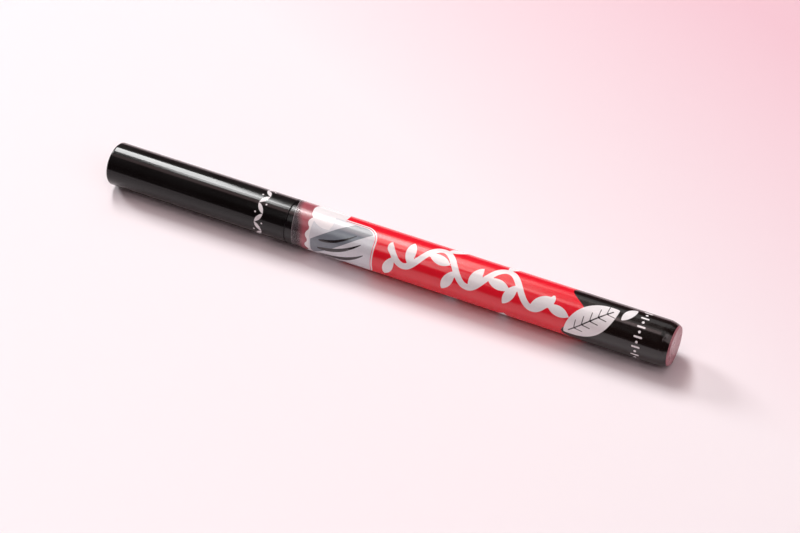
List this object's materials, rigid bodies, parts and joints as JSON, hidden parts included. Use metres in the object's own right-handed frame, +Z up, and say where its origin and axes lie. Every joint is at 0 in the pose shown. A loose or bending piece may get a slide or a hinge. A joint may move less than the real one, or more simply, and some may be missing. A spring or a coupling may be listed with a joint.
{
  "type": "liquid eyeliner pen",
  "caption": "Round capped liquid eyeliner pen in a printed shrink film, with a sprung inner cap, brush tip, wick, finned ink collector, tank and mixing ball.",
  "frame": {"origin": "on the surface that the pen lies on, under the middle of its length", "axes": "+X along the pen from the cap's crown to the tail, +Z up"},
  "size_m": [0.1378, 0.0102, 0.0102],
  "materials": {
    "cap_black": "polished moulded black",
    "inner_cap_natural": "natural soft polyethylene",
    "spring_steel": "drawn stainless wire",
    "section_black": "polished moulded black",
    "ferrule_grey": "moulded acetal",
    "bristle_black": "tapered filaments wet with ink",
    "wick_fibre": "bonded fibre",
    "collector_natural": "natural moulded ABS",
    "barrel_rose": "moulded dusky rose",
    "tail_rose": "moulded dusky rose",
    "printed_film": "reverse-printed clear shrink film",
    "ball_steel": "polished steel"
  },
  "bodies": {
    "barrel": {"barrel_tube": "barrel_rose", "shrink_sleeve": "printed_film", "tail_plug": "tail_rose", "front_section": "section_black", "collector": "collector_natural", "feed_wick": "wick_fibre", "brush_ferrule": "ferrule_grey", "brush_tip": "bristle_black"},
    "inner_cap": {"inner_cap": "inner_cap_natural"},
    "spring": {"inner_cap_spring": "spring_steel"},
    "cap": {"cap_shell": "cap_black"},
    "ball": {"mixing_ball": "ball_steel"}
  },
  "joints": [
    {"name": "cap_pull", "type": "slide", "parent": "barrel", "child": "inner_cap", "axis": [-1, 0, 0], "range_m": [0, 0.045]},
    {"name": "cap_turn", "type": "hinge", "parent": "inner_cap", "child": "spring", "pos_m": [-0.0624, 0, 0.0051], "axis": [1, 0, 0], "continuous": true},
    {"name": "cap_float", "type": "slide", "parent": "spring", "child": "cap", "axis": [-1, 0, 0], "range_m": [0, 0.001], "stiffness_N_per_m": 300, "springref_m": 0.001, "deforming": ["inner_cap_spring"]},
    {"name": "ball_roll", "type": "slide", "parent": "barrel", "child": "ball", "axis": [-1, 0, 0], "range_m": [0, 0.051]}
  ]
}
